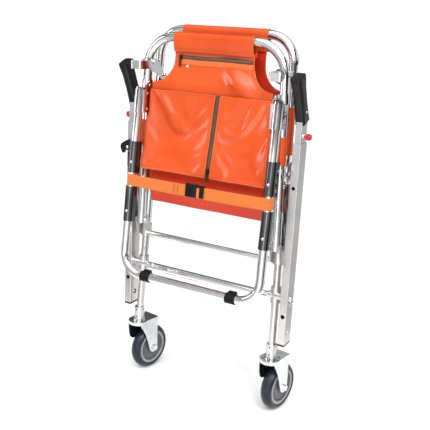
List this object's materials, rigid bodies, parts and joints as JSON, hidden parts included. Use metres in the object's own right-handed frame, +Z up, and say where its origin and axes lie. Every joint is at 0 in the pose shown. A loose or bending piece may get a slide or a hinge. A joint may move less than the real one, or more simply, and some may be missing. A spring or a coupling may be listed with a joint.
{
  "type": "stair chair",
  "caption": "Folding evacuation stair chair, folded flat and upright, with orange vinyl covers, side rails with telescopic grips and swivel casters.",
  "frame": {"origin": "on the floor, midway between the two caster stems, at the middle of the folded chair's footprint", "axes": "+X to the right of the folded chair seen from the front leg's side, +Y to the rear where the casters trail, +Z up"},
  "size_m": [0.516, 0.2062, 0.962],
  "materials": {
    "chrome_tube": "polished",
    "satin_aluminium": "satin",
    "bright_steel": "polished",
    "dark_steel": "polished",
    "zinc_steel": "bright zinc",
    "black_rubber": "matte",
    "black_plastic": "satin",
    "grip_rubber": "satin",
    "red_plastic": "gloss",
    "tyre_rubber": "satin",
    "grey_plastic": "satin",
    "orange_vinyl": "coated, semi-gloss",
    "orange_webbing": "woven",
    "brass": "dark"
  },
  "bodies": {
    "back_frame": {"back_frame_tube": "chrome_tube", "back_sheet": "orange_vinyl", "back_wrap": "orange_vinyl", "caster_leg_left": "satin_aluminium", "caster_leg_right": "satin_aluminium", "leg_collar_left": "satin_aluminium", "leg_collar_right": "satin_aluminium", "seat_pivot_bracket_left": "satin_aluminium", "seat_pivot_bracket_right": "satin_aluminium", "upper_crossbar": "chrome_tube", "lower_crossbar": "chrome_tube", "seat_pivot_pins": "bright_steel", "rail_pivot_pins": "bright_steel", "frame_bolts": "bright_steel", "rail_catch_left": "bright_steel", "rail_catch_right": "bright_steel"},
    "seat_frame": {"seat_frame_tube": "chrome_tube", "seat_sheet": "orange_vinyl", "seat_wrap": "orange_vinyl", "seat_pocket": "orange_vinyl", "seat_bolts": "bright_steel", "leg_hinge_ears": "bright_steel"},
    "seat_zip": {"seat_zip_slider": "brass"},
    "pocket_zip": {"pocket_zip_slider": "brass"},
    "front_leg": {"front_leg_tube": "chrome_tube", "leg_sleeve_left": "bright_steel", "leg_sleeve_right": "bright_steel", "upper_channel_left": "dark_steel", "upper_channel_right": "dark_steel", "lower_channel_left": "dark_steel", "lower_channel_right": "dark_steel", "foot_pad_left": "black_rubber", "foot_pad_right": "black_rubber", "leg_rivets": "bright_steel", "leg_strap": "orange_webbing", "buckle_housing": "black_plastic", "buckle_insert": "black_plastic"},
    "rail_latch": {"latch_lever": "black_plastic"},
    "left_hook": {"fold_hook_left": "bright_steel"},
    "left_stay": {"seat_stay_left": "dark_steel"},
    "left_rail": {"rail_tube_left": "satin_aluminium", "rail_end_cap_left": "black_plastic"},
    "left_handle": {"handle_tube_left": "satin_aluminium", "grip_left": "grip_rubber"},
    "left_button": {"lock_button_left": "red_plastic"},
    "left_caster": {"caster_fork_left": "zinc_steel", "axle_bolt_left": "bright_steel"},
    "left_wheel": {"tyre_left": "tyre_rubber", "wheel_hub_left": "grey_plastic"},
    "right_hook": {"fold_hook_right": "bright_steel"},
    "right_stay": {"seat_stay_right": "dark_steel"},
    "right_rail": {"rail_tube_right": "satin_aluminium", "rail_end_cap_right": "black_plastic"},
    "right_handle": {"handle_tube_right": "satin_aluminium", "grip_right": "grip_rubber"},
    "right_button": {"lock_button_right": "red_plastic"},
    "right_caster": {"caster_fork_right": "zinc_steel", "axle_bolt_right": "bright_steel"},
    "right_wheel": {"tyre_right": "tyre_rubber", "wheel_hub_right": "grey_plastic"}
  },
  "joints": [
    {"name": "seat_fold", "type": "hinge", "parent": "back_frame", "child": "seat_frame", "pos_m": [0, -0.01, 0.452], "axis": [1, 0, 0], "range_deg": [0, 84]},
    {"name": "front_leg_fold", "type": "hinge", "parent": "seat_frame", "child": "front_leg", "pos_m": [0, -0.023, 0.809], "axis": [1, 0, 0], "range_deg": [-96, 0]},
    {"name": "seat_zip_slide", "type": "slide", "parent": "seat_frame", "child": "seat_zip", "axis": [1, 0, 0], "range_m": [0, 0.19]},
    {"name": "pocket_zip_slide", "type": "slide", "parent": "seat_frame", "child": "pocket_zip", "axis": [0.0467, 0.0967, 0.9942], "range_m": [0, 0.17]},
    {"name": "rail_latch_turn", "type": "hinge", "parent": "left_rail", "child": "rail_latch", "pos_m": [-0.236, -0.022, 0.645], "axis": [0, 1, 0], "range_deg": [-20, 0], "stiffness_Nm_per_rad": 0.05},
    {"name": "left_hook_turn", "type": "hinge", "parent": "seat_frame", "child": "left_hook", "pos_m": [-0.1706, -0.01, 0.867], "axis": [1, 0, 0], "range_deg": [-8, 0], "stiffness_Nm_per_rad": 0.4},
    {"name": "left_stay_fold", "type": "hinge", "parent": "back_frame", "child": "left_stay", "pos_m": [-0.2125, 0.016, 0.446], "axis": [1, 0, 0], "range_deg": [0, 74]},
    {"name": "left_rail_swing", "type": "hinge", "parent": "back_frame", "child": "left_rail", "pos_m": [-0.232, 0.004, 0.325], "axis": [1, 0, 0], "range_deg": [0, 90]},
    {"name": "left_handle_slide", "type": "slide", "parent": "left_rail", "child": "left_handle", "axis": [0, 0, 1], "range_m": [0, 0.25]},
    {"name": "left_button_press", "type": "slide", "parent": "left_handle", "child": "left_button", "axis": [1, 0, 0], "range_m": [0, 0.004], "stiffness_N_per_m": 500},
    {"name": "left_caster_swivel", "type": "hinge", "parent": "back_frame", "child": "left_caster", "pos_m": [-0.203, 0, 0.16], "axis": [0, 0, 1], "continuous": true},
    {"name": "left_wheel_spin", "type": "hinge", "parent": "left_caster", "child": "left_wheel", "pos_m": [-0.19571, 0.04136, 0.0625], "axis": [0.9848, -0.1736, 0], "continuous": true},
    {"name": "right_hook_turn", "type": "hinge", "parent": "seat_frame", "child": "right_hook", "pos_m": [0.1706, -0.01, 0.867], "axis": [1, 0, 0], "range_deg": [-8, 0], "stiffness_Nm_per_rad": 0.4},
    {"name": "right_stay_fold", "type": "hinge", "parent": "back_frame", "child": "right_stay", "pos_m": [0.2125, 0.016, 0.446], "axis": [1, 0, 0], "range_deg": [0, 74]},
    {"name": "right_rail_swing", "type": "hinge", "parent": "back_frame", "child": "right_rail", "pos_m": [0.232, 0.004, 0.325], "axis": [1, 0, 0], "range_deg": [0, 90]},
    {"name": "right_handle_slide", "type": "slide", "parent": "right_rail", "child": "right_handle", "axis": [0, 0, 1], "range_m": [0, 0.25]},
    {"name": "right_button_press", "type": "slide", "parent": "right_handle", "child": "right_button", "axis": [-1, 0, 0], "range_m": [0, 0.004], "stiffness_N_per_m": 500},
    {"name": "right_caster_swivel", "type": "hinge", "parent": "back_frame", "child": "right_caster", "pos_m": [0.203, 0, 0.16], "axis": [0, 0, 1], "continuous": true},
    {"name": "right_wheel_spin", "type": "hinge", "parent": "right_caster", "child": "right_wheel", "pos_m": [0.21029, 0.04136, 0.0625], "axis": [0.9848, -0.1736, 0], "continuous": true}
  ],
  "couplings": [
    {"joint": "front_leg_fold", "follows": "seat_fold", "ratio": -1.142},
    {"joint": "left_stay_fold", "follows": "seat_fold", "ratio": 0.876},
    {"joint": "right_stay_fold", "follows": "seat_fold", "ratio": 0.876}
  ]
}
